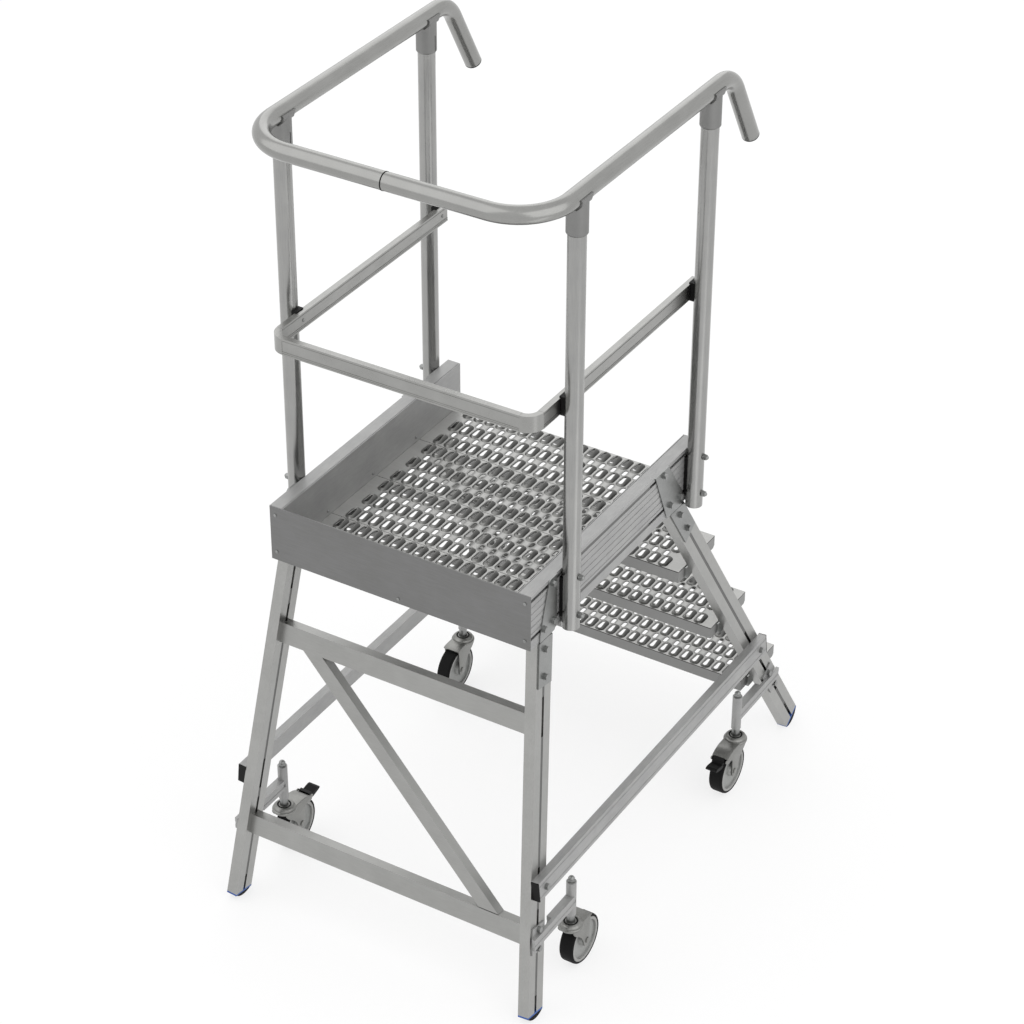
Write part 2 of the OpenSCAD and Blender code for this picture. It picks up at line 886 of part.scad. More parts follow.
// Solid outline of a foot, from a below the arc centre down to the rounded sole.
module foot_block(tilt, top, bottom) {
    translate([-prof_t, -prof_d / 2, sole_r / (cos(tilt) * cos(splay)) - bottom])
        cube([prof_t, prof_d, bottom - top]);
}

// Horizontal cylinder whose lowest line touches the floor under an upright.
module sole_round(y) {
    rod_x(0, reach, y, sole_r, 2 * sole_r, 96);
}

module foot_plugs() {
    color(band_blue)
        both() {
            leg_frame()
                foot_block(lean, metal_l, metal_l + band_h);
            stile_frame()
                foot_block(rake, metal_l, metal_l + band_h);
        }
}

module foot_soles() {
    color(black)
        both() {
            intersection() {
                leg_frame()
                    foot_block(lean, metal_l + band_h, metal_l + 30);
                sole_round(leg_y(sole_r));
            }
            intersection() {
                stile_frame()
                    foot_block(rake, metal_l + band_h, metal_l + 30);
                sole_round(stile_y(sole_r));
            }
        }
}

// Corner plates

gusset_y = deck_l - 198;               // upper corner of the far plates

// Near plates: one leaf on the side rail, one folded onto the leg.
module gussets_near() {
    y1 = post_near - tube_r - 9;
    color(steel)
        both() {
            difference() {
                plate_x(rail_x, plate_t)
                    polygon([[y1 - 69, rail_z - 1], [y1 - 69, rail_z + 18], [y1 - 34, rail_z + rail_h - 6],
                        [y1 - 28, rail_z + rail_h], [y1, rail_z + rail_h], [y1, rail_z + 12],
                        [y1 - 10, rail_z - 1]]);
                for (p = gusset_near_pts)
                    rod_x(rail_x - 1, rail_x + plate_t + 1, p[0], p[1], bolt_d + 0.4, 24);
                splay_frame()
                    box([-60, -reach, 0], [0, 2 * reach, rail_z / cos(splay) + 3]);
            }
            difference() {
                leg_frame()
                    box([0, -25, (rail_z - 112) / (cos(lean) * cos(splay))],
                        [plate_t, 29, rail_z / (cos(lean) * cos(splay))]);
                box([0, -reach, rail_z - 2], [reach, 2 * reach, rail_z + reach]);
                for (z = leaf_near_z)
                    splay_frame()
                        rod_x(-1, plate_t + 1, leg_y(z), z / cos(splay), bolt_d + 0.4, 24);
            }
        }
}

// Far plates: the upper leaf slants with the stile.
module gussets_far() {
    color(steel)
        both() {
            difference() {
                plate_x(rail_x, plate_t)
                    polygon([[gusset_y, rail_z + rail_h], [gusset_y + 62, rail_z + rail_h],
                        [gusset_y + 74, rail_z + rail_h - 20], [gusset_y + 128, rail_z + 42],
                        [gusset_y + 134, rail_z + 32], [gusset_y + 134, rail_z - 1],
                        [gusset_y + 62, rail_z - 1]]);
                for (p = gusset_far_pts)
                    rod_x(rail_x - 1, rail_x + plate_t + 1, p[0], p[1], bolt_d + 0.4, 24);
                splay_frame()
                    box([-60, -reach, 0], [0, 2 * reach, rail_z / cos(splay) + 3]);
            }
            difference() {
                stile_frame()
                    box([0, -27, (rail_z - 96) / (cos(rake) * cos(splay))],
                        [plate_t, 29, (rail_z + 20) / (cos(rake) * cos(splay))]);
                box([0, -reach, rail_z - 2], [reach, 2 * reach, rail_z + reach]);
                for (z = leaf_far_z)
                    splay_frame()
                        rod_x(-1, plate_t + 1, stile_y(z), z / cos(splay), bolt_d + 0.4, 24);
            }
        }
}

gusset_near_pts = [[post_near - 48, slot_hi], [post_near - 46, slot_lo], [post_near - 84, slot_lo]];
gusset_far_pts = [[gusset_y + 40, slot_hi], [gusset_y + 75, slot_lo], [gusset_y + 118, slot_lo]];
leaf_near_z = [rail_z - 26, rail_z - 90];
leaf_far_z = [rail_z - 24, rail_z - 76];

// Bolts of the corner plates and of the struts.
module frame_bolts() {
    color(steel)
        both() {
            for (p = concat(gusset_near_pts, gusset_far_pts))
                translate([rail_x + plate_t, p[0], p[1]])
                    bolt_x(plate_t + 6);
            splay_frame() {
                for (z = leaf_near_z)
                    translate([plate_t, leg_y(z), z / cos(splay)])
                        bolt_x(plate_t + 6);
                for (z = leaf_far_z)
                    translate([plate_t, stile_y(z), z / cos(splay)])
                        bolt_x(plate_t + 6);
                for (y = [leg_y(strut_z + strut_h / 2), stile_y(strut_z + strut_h / 2)])
                    translate([strut_t, y, strut_z / cos(splay) + strut_h / 2])
                        bolt_x(strut_t + 6);
            }
        }
}

// Small angle at each end of a tread, screwed to the stile.
module tread_brackets() {
    color(steel)
        for (i = treads)
            intersection() {
                for (s = [-1, 1])
                    side(s)
                        box([tread_half(i), stile_y(i * rise) - 45, i * rise - tread_h + 2],
                            [tread_half(i) + 60, stile_y(i * rise) + 38, i * rise - 3]);
                between_legs(-reach, 2 * reach);
            }
}

// Castors

// Arm on a clip plate, with the tube that guides the sprung stem. It runs
// towards +Y from a leg, and towards -Y where far is true and it hangs on a stile.
module castor_arm(far) {
    y = far ? castor_far : castor_near;
    mid = slot_y(far, arm_mid);
    end = mid + (far ? 26 : -26) / cos(tilt_of(far));
    c = cos(tilt_of(far)) * cos(splay);
    difference() {
        union() {
            difference() {
                box([arm_x - arm_t / 2, min(y, end), arm_z], [arm_x + arm_t / 2, max(y, end), arm_z + arm_h]);
                // the arm is cut away where it passes the upright
                splay_frame()
                    box([-80, mid - 60, 0], [plate_t - e, mid + 60, 400]);
            }
            upright_frame(far)
                box([0, -24, (arm_z - 18) / c], [plate_t, 24, (arm_z + arm_h + 18) / c]);
            translate([castor_x, y, tube_end])
                cylinder(h = stem_top - tube_end, d = stem_tube_d);
        }
        // shallow grooves on both sides of the arm
        for (x = [arm_x + arm_t / 2 - 0.8, arm_x - arm_t / 2 - 1])
            box([x, min(y, end) - 1, arm_mid - 4], [x + 1.8, max(y, end) + 1, arm_mid + 4]);
        // sleeve bore, and the smaller hole of the nut end
        translate([castor_x, y, tube_end - 1])
            cylinder(h = stem_top - 6 - tube_end + 1, d = sleeve_d + 2 * run_gap);
        translate([castor_x, y, stem_top - 20])
            cylinder(h = 40, d = 10 + 2 * run_gap);
        for (z = arm_bolt_z)
            splay_frame()
                rod_x(-1, plate_t + 1, slot_y(far, z), z / cos(splay), bolt_d + 0.4, 24);
    }
}

arm_bolt_z = [arm_z - 8.5, arm_z + arm_h + 8.5];

module castor_arms() {
    color(alu)
        both()
            for (far = [false, true])
                castor_arm(far);
}

module arm_bolts() {
    color(steel)
        both()
            splay_frame()
                for (far = [false, true], z = arm_bolt_z)
                    translate([plate_t, slot_y(far, z), z / cos(splay)])
                        bolt_x(plate_t + 6);
}

// Place of a castor's swivel axis: right or left, near or far; near ones trail to +Y.
module castor(s, far) {
    side(s)
        translate([castor_x, far ? castor_far : castor_near, 0])
            mirror([0, far ? 1 : 0, 0])
                children();
}

// Sliding stem: sleeve, thin rod through the tube's end, and domed nut.
module stem(s, far) {
    color(steel)
        castor(s, far) {
            translate([0, 0, fork_top - 8])
                cylinder(h = 60, d = sleeve_d);
            translate([0, 0, fork_top])
                cylinder(h = stem_top + 3 - fork_top, d = 10);
            translate([0, 0, stem_top + 0.3])
                cylinder(h = 8, d = 15.5 / cos(30), $fn = 6);
            translate([0, 0, stem_top + 8.3 - e])
                rotate_extrude()
                    intersection() {
                        circle(r = 7.7, $fn = 40);
                        square([10, 10]);
                    }
        }
}

// Side outline of a fork cheek in Y and Z, seen from +X.
module cheek_outline() {
    r = 16;
    polygon(concat(
        [[-24, head_z + 1], [-24, head_z - 6], [-14, wheel_r + 48]],
        arc(trail, wheel_r, r, 215, 340, 14),
        [[trail + wheel_r - 8, wheel_r + 42]],
        arc(trail, wheel_r, wheel_r + 9.5, 46, 92, 10),
        [[30, head_z + 1]]));
}

// Swivel fork: domed head with a seal ring, two cheeks, hood over the tyre, axle.
module fork(s, far, braked = false) {
    color(steel)
        castor(s, far) {
            difference() {
                union() {
                    // head with its ridges
                    rotate_extrude($fn = 64)
                        polygon([[0, head_z], [29, head_z], [30, head_z + 1.5], [30, head_z + 5],
                            [28.5, head_z + 6.5], [28.5, head_z + 8], [26.5, head_z + 9.5],
                            [25, head_z + 9.5], [22, head_z + 12.5], [16.5, head_z + head_h],
                            [16, fork_top], [12.6, fork_top], [12, head_z + head_h], [0, head_z + head_h]]);
                    for (m = [-1, 1])
                        plate_x(m > 0 ? cheek_x : -cheek_x - cheek_t, cheek_t)
                            cheek_outline();
                    // hood over the tyre
                    plate_x(-cheek_x - e, 2 * cheek_x + 2 * e)
                        polygon(concat(arc(trail, wheel_r, wheel_r + 9.5, 48, 92, 12),
                            arc(trail, wheel_r, wheel_r + 3, 92, 48, 12)));
                    // bridge under the head
                    box([-cheek_x - cheek_t, -24, head_z - 0.8], [cheek_x + cheek_t, 30, head_z + 1]);
                    // bosses round the axle ends
                    for (m = [-1, 1])
                        rod_x(m > 0 ? cheek_x : -cheek_x - cheek_t - 2, m > 0 ? cheek_x + cheek_t + 2 : -cheek_x,
                            trail, wheel_r, 22, 32);
                }
                // socket for the stem and hole for the axle
                translate([0, 0, fork_top - 8 - 0.3])
                    cylinder(h = 20, d = sleeve_d + 2 * run_gap);
                rod_x(-60, 60, trail, wheel_r, axle_d, 48);
                if (braked)
                    box([-15.5, trail + 38, wheel_r + 30], [15.5, trail + 80, wheel_r + 90]);
            }
            // axle with its end heads
            rod_x(-cheek_x - cheek_t - 2, cheek_x + cheek_t + 2, trail, wheel_r, axle_d, 48);
            for (m = [-1, 1])
                rod_x(m > 0 ? cheek_x + cheek_t + 2 - e : -cheek_x - cheek_t - 5, m > 0 ? cheek_x + cheek_t + 5 : -cheek_x - cheek_t - 2 + e,
                    trail, wheel_r, 17, 32);
        }
}

// Wheel centre: bored boss, dished web and rim.
module hub(s, far) {
    w = tyre_w / 2;
    b = axle_d / 2 + run_gap;
    color(steel)
        castor(s, far)
            translate([0, trail, wheel_r])
                rotate([0, 90, 0])
                    rotate_extrude($fn = 96)
                        polygon([[b, -w], [14, -w], [16, -w + 3], [18, -w + 8], [rim_r - 7, -w + 6],
                            [rim_r - 5, -w + 2], [rim_r, -w + 2], [rim_r, w - 2], [rim_r - 5, w - 2],
                            [rim_r - 7, w - 6], [18, w - 8], [16, w - 3], [14, w], [b, w]]);
}

module tyre(s, far) {
    w = tyre_w / 2;
    color(black)
        castor(s, far)
            translate([0, trail, wheel_r])
                rotate([0, 90, 0])
                    rotate_extrude($fn = 96)
                        polygon([[rim_r, -w + 1.5], [rim_r + 1, -w], [wheel_r - 3.5, -w],
                            [wheel_r - 1, -w + 2.2], [wheel_r, -w + 6], [wheel_r, w - 6],
                            [wheel_r - 1, w - 2.2], [wheel_r - 3.5, w], [rim_r + 1, w], [rim_r, w - 1.5]]);
}

// Brake pedal that passes through the end of the hood.
module pedal(s, far) {
    r = wheel_r;
    color(black)
        castor(s, far)
            difference() {
                plate_x(-15, 30)
                    polygon([[trail + 43, r + 48], [trail + 41, r + 62], [trail + 52, r + 60],
                        [trail + 56, r + 51], [trail + 80, r + 55], [trail + 87, r + 53],
                        [trail + 87, r + 49], [trail + 80, r + 46], [trail + 60, r + 41],
                        [trail + 50, r + 41]]);
                rod_x(-20, 20, trail + 50, r + 48, 5, 24);
            }
}

unit() side_rail(-1);  // side_rail_left
unit() side_rail(1);  // side_rail_right
unit() slot_covers();
unit() kick_plate();
unit() deck_screws();
unit() plank(1);  // platform_plank_1
unit() plank(2);  // platform_plank_2
unit() plank(3);  // platform_plank_3
unit() plank(4);  // platform_plank_4
unit() handrail(-1);  // handrail_left
unit() handrail(1);  // handrail_right
unit() handrail_fittings();
unit() post(-1, post_near);  // post_near_left
unit() post(1, post_near);  // post_near_right
unit() post(-1, post_far);  // post_far_left
unit() post(1, post_far);  // post_far_right
unit() tee_clamps();
unit() knee_rail();
unit() knee_clips();
unit() post_pads();
unit() post_bolts();
unit() gussets_near();
unit() gussets_far();
unit() frame_bolts();
unit() leg(-1);  // leg_left
unit() leg(1);  // leg_right
unit() cross_beam(upper_z);  // upper_beam
unit() cross_beam(lower_z);  // lower_beam
unit() diagonal_brace();
unit() stile(-1);  // stile_left
unit() stile(1);  // stile_right
unit() tread(1);  // tread_1
unit() tread(2);  // tread_2
unit() tread(3);  // tread_3
unit() tread_brackets();
unit() struts();
unit() strut_caps();
unit() foot_plugs();
unit() foot_soles();
unit() castor_arms();
unit() arm_bolts();
unit() stem(-1, false);  // stem_near_left
unit() stem(1, false);  // stem_near_right
unit() stem(-1, true);  // stem_far_left
unit() stem(1, true);  // stem_far_right
unit() fork(-1, false, true);  // fork_near_left
unit() fork(1, false);  // fork_near_right
unit() fork(-1, true);  // fork_far_left
unit() fork(1, true, true);  // fork_far_right
unit() hub(-1, false);  // hub_near_left
unit() hub(1, false);  // hub_near_right
unit() hub(-1, true);  // hub_far_left
unit() hub(1, true);  // hub_far_right
unit() tyre(-1, false);  // tyre_near_left
unit() tyre(1, false);  // tyre_near_right
unit() tyre(-1, true);  // tyre_far_left
unit() tyre(1, true);  // tyre_far_right
unit() pedal(-1, false);  // pedal_near_left
unit() pedal(1, true);  // pedal_far_right
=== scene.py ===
"""Dresses the mobile podium step: finishes, small fittings, floor, light and camera."""

import logging
import math
from dataclasses import dataclass, field
from enum import Enum
from typing import Any

import bmesh
import bpy
from mathutils import Matrix, Vector


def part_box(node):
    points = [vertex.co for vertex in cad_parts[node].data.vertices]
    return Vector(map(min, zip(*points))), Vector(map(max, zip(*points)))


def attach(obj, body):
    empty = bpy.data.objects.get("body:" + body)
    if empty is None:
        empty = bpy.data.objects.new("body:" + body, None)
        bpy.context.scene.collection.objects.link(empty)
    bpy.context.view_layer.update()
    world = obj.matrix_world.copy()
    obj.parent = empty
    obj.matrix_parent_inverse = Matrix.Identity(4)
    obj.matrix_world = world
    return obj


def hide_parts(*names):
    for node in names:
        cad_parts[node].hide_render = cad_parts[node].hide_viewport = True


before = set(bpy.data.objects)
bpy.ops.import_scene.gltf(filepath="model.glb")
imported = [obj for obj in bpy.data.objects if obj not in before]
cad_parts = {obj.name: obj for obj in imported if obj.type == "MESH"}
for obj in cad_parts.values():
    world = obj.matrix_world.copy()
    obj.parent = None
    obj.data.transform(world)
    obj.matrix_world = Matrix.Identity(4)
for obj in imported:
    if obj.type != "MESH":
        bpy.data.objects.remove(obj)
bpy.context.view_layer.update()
log = logging.getLogger("podium_step")

# The punched pattern, in metres: slot to slot, row to row, centre of a long slot to its round
# end, and the plain margin at each end of a row.
SLOT_PITCH = 0.0305
ROW_STEP = 0.066
SLOT_BEND = 0.0105
END_MARGIN = 0.038
# One step up the stair, and how far the CAD's square collars stand over a sheet.
RISE = 0.240
COLLAR = 0.004
# Vertices closer than this are merged, and edges that turn by more than this stay crisp.
DOUBLES = 1e-6
SMOOTH_ANGLE = math.radians(35)
# The fittings of the castors are drawn in millimetres.
MM = 0.001
UP = Vector((0, 0, 1))
CORNERS = ("near_left", "near_right", "far_left", "far_right")

Tree = bpy.types.NodeTree
Socket = bpy.types.NodeSocket


class Grain(Enum):
    """Direction that a drawn or rolled metal's fine lines run in."""
    ALONG_X = (0.04, 1.0, 1.0)
    ALONG_Y = (1.0, 0.04, 1.0)
    ALONG_Z = (1.0, 1.0, 0.04)


def linear(hex_colour: str) -> tuple[float, float, float, float]:
    """Turns an sRGB hex value into the linear colour that a shader takes.

    Args:
        hex_colour: Six hex digits, such as "A0A09E".

    Returns:
        Red, green, blue and an alpha of 1.
    """
    parts = [int(hex_colour[i:i + 2], 16) / 255 for i in (0, 2, 4)]
    lin = [c / 12.92 if c <= 0.04045 else ((c + 0.055) / 1.055) ** 2.4 for c in parts]
    return (lin[0], lin[1], lin[2], 1.0)


def add(tree: Tree, kind: str, links: dict[Any, Socket] | None = None,
        values: dict[Any, Any] | None = None, **settings: Any) -> bpy.types.Node:
    """Adds one node with its settings, socket values and incoming links.

    Args:
        tree: Node tree that the node goes into.
        kind: Blender's node type name.
        links: Input name or index to the output socket that feeds it.
        values: Input name or index to its fixed value.
        **settings: Properties set on the node itself.

    Returns:
        The new node.
    """
    item = tree.nodes.new(kind)
    for key, value in settings.items():
        setattr(item, key, value)
    for key, value in (values or {}).items():
        item.inputs[key].default_value = value
    for key, socket in (links or {}).items():
        tree.links.new(socket, item.inputs[key])
    return item


def height_in_rise(tree: Tree, coord: Socket, base: float) -> Socket:
    """Height within one rise, in which the top of every walking sheet reads the base.

    Args:
        tree: The material's node tree.
        coord: Object coordinates.
        base: What a sheet's top reads, in metres.

    Returns:
        The socket that carries the height.
    """
    place = add(tree, "ShaderNodeSeparateXYZ", {0: coord})
    high = add(tree, "ShaderNodeMath", {0: place.outputs[2]}, {1: base}, operation="ADD")
    return add(tree, "ShaderNodeMath", {0: high.outputs[0]}, {1: RISE},
               operation="MODULO").outputs[0]


def is_walking_sheet(name: str) -> bool:
    """Tells the planks and treads from every other node."""
    return name.startswith(("platform_plank", "tread_")) and name != "tread_brackets"


@dataclass(frozen=True)
class Finish:
    """A surface with broad mottling and fine grain, in the object's own metres."""
    name: str
    dark: str
    light: str
    metallic: float
    roughness: float
    grain_mm: float = 0.6
    grain: Grain | None = None
    bump: float = 0.1
    spread: float = 0.08
    specular: float = 0.5

    def build(self) -> bpy.types.Material:
        """Builds the node material.

        Returns:
            The finished material.
        """
        mat = bpy.data.materials.new(self.name)
        mat.use_nodes = True
        tree = mat.node_tree
        shader = tree.nodes["Principled BSDF"]
        coord = add(tree, "ShaderNodeTexCoord").outputs["Object"]
        stretched = coord
        if self.grain is not None:
            stretched = add(tree, "ShaderNodeMapping", {"Vector": coord},
                            {"Scale": self.grain.value}).outputs[0]
        mottle = add(tree, "ShaderNodeTexNoise", {"Vector": coord},
                     {"Scale": 14.0, "Detail": 4.0, "Roughness": 0.6})
        lines = add(tree, "ShaderNodeTexNoise", {"Vector": stretched},
                    {"Scale": 1000.0 / self.grain_mm, "Detail": 2.0})
        # broad tone from handling, with the fine grain laid over it
        both = add(tree, "ShaderNodeMath", {0: lines.outputs[0], 1: mottle.outputs[0]},
                   operation="ADD")
        tone = add(tree, "ShaderNodeMapRange", {"Value": both.outputs[0]},
                   {"From Min": 0.7, "From Max": 1.3})
        colour = add(tree, "ShaderNodeMix", {"Factor": tone.outputs[0]},
                     {"A": linear(self.dark), "B": linear(self.light)}, data_type="RGBA")
        rough = add(tree, "ShaderNodeMapRange", {"Value": mottle.outputs[0]},
                    {"To Min": self.roughness - self.spread,
                     "To Max": self.roughness + self.spread})
        height = self.height(tree, coord, lines.outputs[0])
        bump = add(tree, "ShaderNodeBump", {"Height": height},
                   {"Strength": self.bump, "Distance": 0.0004})
        tree.links.new(self.colour_socket(tree, coord, colour.outputs["Result"]),
                       shader.inputs["Base Color"])
        tree.links.new(rough.outputs[0], shader.inputs["Roughness"])
        tree.links.new(bump.outputs[0], shader.inputs["Normal"])
        shader.inputs["Metallic"].default_value = self.metallic
        shader.inputs["Specular IOR Level"].default_value = self.specular
        return mat

    def height(self, tree: Tree, coord: Socket, lines: Socket) -> Socket:
        """Returns the socket that drives the bump: the fine grain alone."""
        return lines

    def colour_socket(self, tree: Tree, coord: Socket, colour: Socket) -> Socket:
        """Returns the socket that drives the colour, unchanged here."""
        return colour


@dataclass(frozen=True)
class PunchedSheet(Finish):
    """Rolled aluminium sheet: painted shade in the short slots' dishes, on cut edges and on the
    apron.
    """
    centre_y: float = 0.0
    long_slots: int = 18
    # straight half length and end radius of a short slot, and the reach of its dish and the
    # painted shade in it
    short_half: float = 0.006
    short_r: float = 0.005
    dish: float = 0.0075
    dish_shade: float = 0.55
    # height of the flat sheet over a dish's bottom, against the rolled grain's
    dish_depth: float = 5.0
    # faces lower than the sheet's own thickness under its top belong to the apron
    thickness: float = 0.0024
    # painted shade on the side faces: a darker grey for the apron, near black for the cut edges
    apron_shade: str = "8C8C8B"
    edge_shade: str = "3A3A39"

    def outline_distance(self, tree: Tree, coord: Socket) -> Socket:
        """Distance from the outline of the nearest short slot, in metres.

        Args:
            tree: The material's node tree.
            coord: Object coordinates.

        Returns:
            The socket that carries the distance.
        """
        # the short slots sit half a pitch from the long ones, so an even row has one at the
        # middle; some whole cells more keep the sum above zero for the modulo
        cells = 200
        odd = self.long_slots % 2
        shift = ((cells + 0.5 - 0.5 * odd) * SLOT_PITCH, cells * ROW_STEP - self.centre_y, 0)
        moved = add(tree, "ShaderNodeVectorMath", {0: coord}, {1: shift}, operation="ADD")
        cell = add(tree, "ShaderNodeVectorMath", {0: moved.outputs[0]},
                   {1: (SLOT_PITCH, ROW_STEP, 1.0)}, operation="MODULO")
        local = add(tree, "ShaderNodeVectorMath", {0: cell.outputs[0]},
                    {1: (SLOT_PITCH / 2, ROW_STEP / 2, 0)}, operation="SUBTRACT")
        parts = add(tree, "ShaderNodeSeparateXYZ", {0: local.outputs[0]})
        side = add(tree, "ShaderNodeMath", {0: parts.outputs[1]}, operation="ABSOLUTE")
        past = add(tree, "ShaderNodeMath", {0: side.outputs[0]}, {1: self.short_half},
                   operation="SUBTRACT")
        past = add(tree, "ShaderNodeMath", {0: past.outputs[0]}, {1: 0.0}, operation="MAXIMUM")
        flat = add(tree, "ShaderNodeCombineXYZ", {0: parts.outputs[0], 1: past.outputs[0]})
        length = add(tree, "ShaderNodeVectorMath", {0: flat.outputs[0]}, operation="LENGTH")
        near = add(tree, "ShaderNodeMath", {0: length.outputs["Value"]}, {1: self.short_r},
                   operation="SUBTRACT").outputs[0]
        # no dish lies past the last slot of a row or past the outer rows
        place = add(tree, "ShaderNodeSeparateXYZ", {0: coord})
        ends = ((0, 0.0, (self.long_slots - 1) / 2 * SLOT_PITCH), (1, self.centre_y, ROW_STEP))
        for axis, middle, reach in ends:
            off = add(tree, "ShaderNodeMath", {0: place.outputs[axis]}, {1: middle},
                      operation="SUBTRACT")
            off = add(tree, "ShaderNodeMath", {0: off.outputs[0]}, operation="ABSOLUTE")
            off = add(tree, "ShaderNodeMath", {0: off.outputs[0]}, {1: reach - self.dish},
                      operation="SUBTRACT")
            near = add(tree, "ShaderNodeMath", {0: near, 1: off.outputs[0]},
                       operation="MAXIMUM").outputs[0]
        return near

    def height(self, tree: Tree, coord: Socket, lines: Socket) -> Socket:
        """Adds the pressed dishes round the short slots to the rolled grain.

        Args:
            tree: The material's node tree.
            coord: Object coordinates.
            lines: The rolled grain.

        Returns:
            The socket that drives the bump.
        """
        ramp = add(tree, "ShaderNodeMapRange", {"Value": self.outline_distance(tree, coord)},
                   {"From Max": self.dish, "To Max": self.dish_depth},
                   interpolation_type="SMOOTHSTEP")
        return add(tree, "ShaderNodeMath", {0: ramp.outputs[0], 1: lines},
                   operation="ADD").outputs[0]

    def colour_socket(self, tree: Tree, coord: Socket, colour: Socket) -> Socket:
        """Paints shade into the dishes, on the cut edges and on the folded faces under the sheet.

        Args:
            tree: The material's node tree.
            coord: Object coordinates.
            colour: Tone of the flat sheet.

        Returns:
            The socket that carries the colour.
        """
        # painted shade: the sheet turns darker towards each short slot, down to this share of its
        # tone
        dish_shading = add(tree, "ShaderNodeMapRange", {"Value": self.outline_distance(tree, coord)},
                   {"From Max": self.dish, "To Min": self.dish_shade, "To Max": 1.0},
                   interpolation_type="SMOOTHSTEP")
        top = add(tree, "ShaderNodeVectorMath", {0: colour, "Scale": dish_shading.outputs[0]},
                  operation="SCALE").outputs[0]
        # painted shade: steep slot walls and edges go near black, the folded apron lower down
        # darker
        normal = add(tree, "ShaderNodeTexCoord").outputs["Normal"]
        upright = add(tree, "ShaderNodeSeparateXYZ", {0: normal})
        upright = add(tree, "ShaderNodeMath", {0: upright.outputs[2]}, operation="ABSOLUTE")
        base = 0.2
        low = add(tree, "ShaderNodeMath", {0: height_in_rise(tree, coord, base)},
                  {1: base - self.thickness}, operation="LESS_THAN")
        side_shade = add(tree, "ShaderNodeMix", {"Factor": low.outputs[0]},
                   {"A": linear(self.edge_shade), "B": linear(self.apron_shade)}, data_type="RGBA")
        flat = add(tree, "ShaderNodeMapRange", {"Value": upright.outputs[0]},
                   {"From Min": 0.3, "From Max": 0.6})
        return add(tree, "ShaderNodeMix", {"Factor": flat.outputs[0], "A": side_shade.outputs["Result"],
                   "B": top}, data_type="RGBA").outputs["Result"]


@dataclass(frozen=True)
class PressedLip(Finish):
    """Raised slot lips: painted shade on the flanks, and a painted highlight along the crown."""
    # painted shade on the flanks, and a lighter painted tone for one side and the inner wall
    shaded_flank: str = "424241"
    lit_flank: str = "868684"
    # heights over the sheet, in metres, between which the flank's tone turns into the crown's
    crown: tuple[float, float] = (0.0049, 0.0052)

    def colour_socket(self, tree: Tree, coord: Socket, colour: Socket) -> Socket:
        """Blends from the flanks' painted shade to the crown's painted highlight by height over
        the sheet.

        Args:
            tree: The material's node tree.
            coord: Object coordinates.
            colour: Tone of the crown, its painted highlight.

        Returns:
            The socket that carries the colour.
        """
        base = 0.1
        ramp = add(tree, "ShaderNodeMapRange", {"Value": height_in_rise(tree, coord, base)},
                   {"From Min": base + self.crown[0], "From Max": base + self.crown[1]})
        # painted light: flanks that face along +X keep the painted shade, the others take the
        # lighter lit tone
        turned = add(tree, "ShaderNodeSeparateXYZ",
                     {0: add(tree, "ShaderNodeTexCoord").outputs["Normal"]})
        lit_side = add(tree, "ShaderNodeMapRange", {"Value": turned.outputs[0]},
                   {"From Min": 0.2, "From Max": 0.66, "To Min": 1.0, "To Max": 0.0})
        # the steep inner wall of the opening takes the lighter painted tone too
        lit_wall = add(tree, "ShaderNodeMapRange", {"Value": turned.outputs[2]},
                     {"From Min": 0.12, "From Max": 0.36, "To Min": 1.0, "To Max": 0.0})
        lit_side = add(tree, "ShaderNodeMath", {0: lit_side.outputs[0], 1: lit_wall.outputs[0]},
                   operation="MAXIMUM")
        side = add(tree, "ShaderNodeMix", {"Factor": lit_side.outputs[0]},
                   {"A": linear(self.shaded_flank), "B": linear(self.lit_flank)}, data_type="RGBA")
        return add(tree, "ShaderNodeMix", {"Factor": ramp.outputs[0], "A": side.outputs["Result"],
                   "B": colour}, data_type="RGBA").outputs["Result"]


# Drawn aluminium tube, natural anodised: a smooth satin with faint lines along its length.
RAIL_TUBE = Finish("anodised_aluminium_handrail", "929290", "9C9C9A", metallic=1.0,
                   roughness=0.23, grain_mm=1.6, grain=Grain.ALONG_Y, bump=0.03, spread=0.04)
POST_TUBE = Finish("anodised_aluminium_post", "989897", "A2A2A0", metallic=1.0, roughness=0.24,
                   grain_mm=1.6, grain=Grain.ALONG_Z, bump=0.03, spread=0.04)
# Extruded aluminium, mill finish: soft grey with fine die lines along the profile.
MILL_ALONG = Finish("extruded_aluminium_lengthwise", "909090", "A2A2A1", metallic=0.46,
                    roughness=0.42, grain_mm=1.2, grain=Grain.ALONG_Y, bump=0.06, spread=0.05)
MILL_UPRIGHT = Finish("extruded_aluminium_upright", "9E9E9C", "AAAAA8", metallic=1.0,
                      roughness=0.34, grain_mm=1.2, grain=Grain.ALONG_Z, bump=0.06, spread=0.05)
MILL_CROSS = Finish("extruded_aluminium_cross", "9A9A98", "A4A4A2", metallic=1.0, roughness=0.36,
                    grain_mm=1.2, grain=Grain.ALONG_X, bump=0.06, spread=0.05)
# Ribbed knee rail: the same alloy, brushed a little brighter along its length.
KNEE_TUBE = Finish("extruded_aluminium_knee_rail", "949492", "A2A2A0", metallic=1.0,
                   roughness=0.28, grain_mm=1.2, grain=Grain.ALONG_Y, bump=0.05, spread=0.04)
# Thin strip pressed into the profile's slot: duller and darker than the profile round it.
SLOT_STRIP = Finish("drawn_slot_strip", "5C5C5B", "686867", metallic=0.5, roughness=0.46,
                    grain_mm=1.2, grain=Grain.ALONG_Z, bump=0.04, spread=0.05)
# Cast aluminium clamp: duller and darker than the tubes, with a fine sand skin.
CAST = Finish("cast_aluminium_clamp", "828281", "8E8E8D", metallic=1.0, roughness=0.46,
              grain_mm=0.7, bump=0.14, spread=0.05)
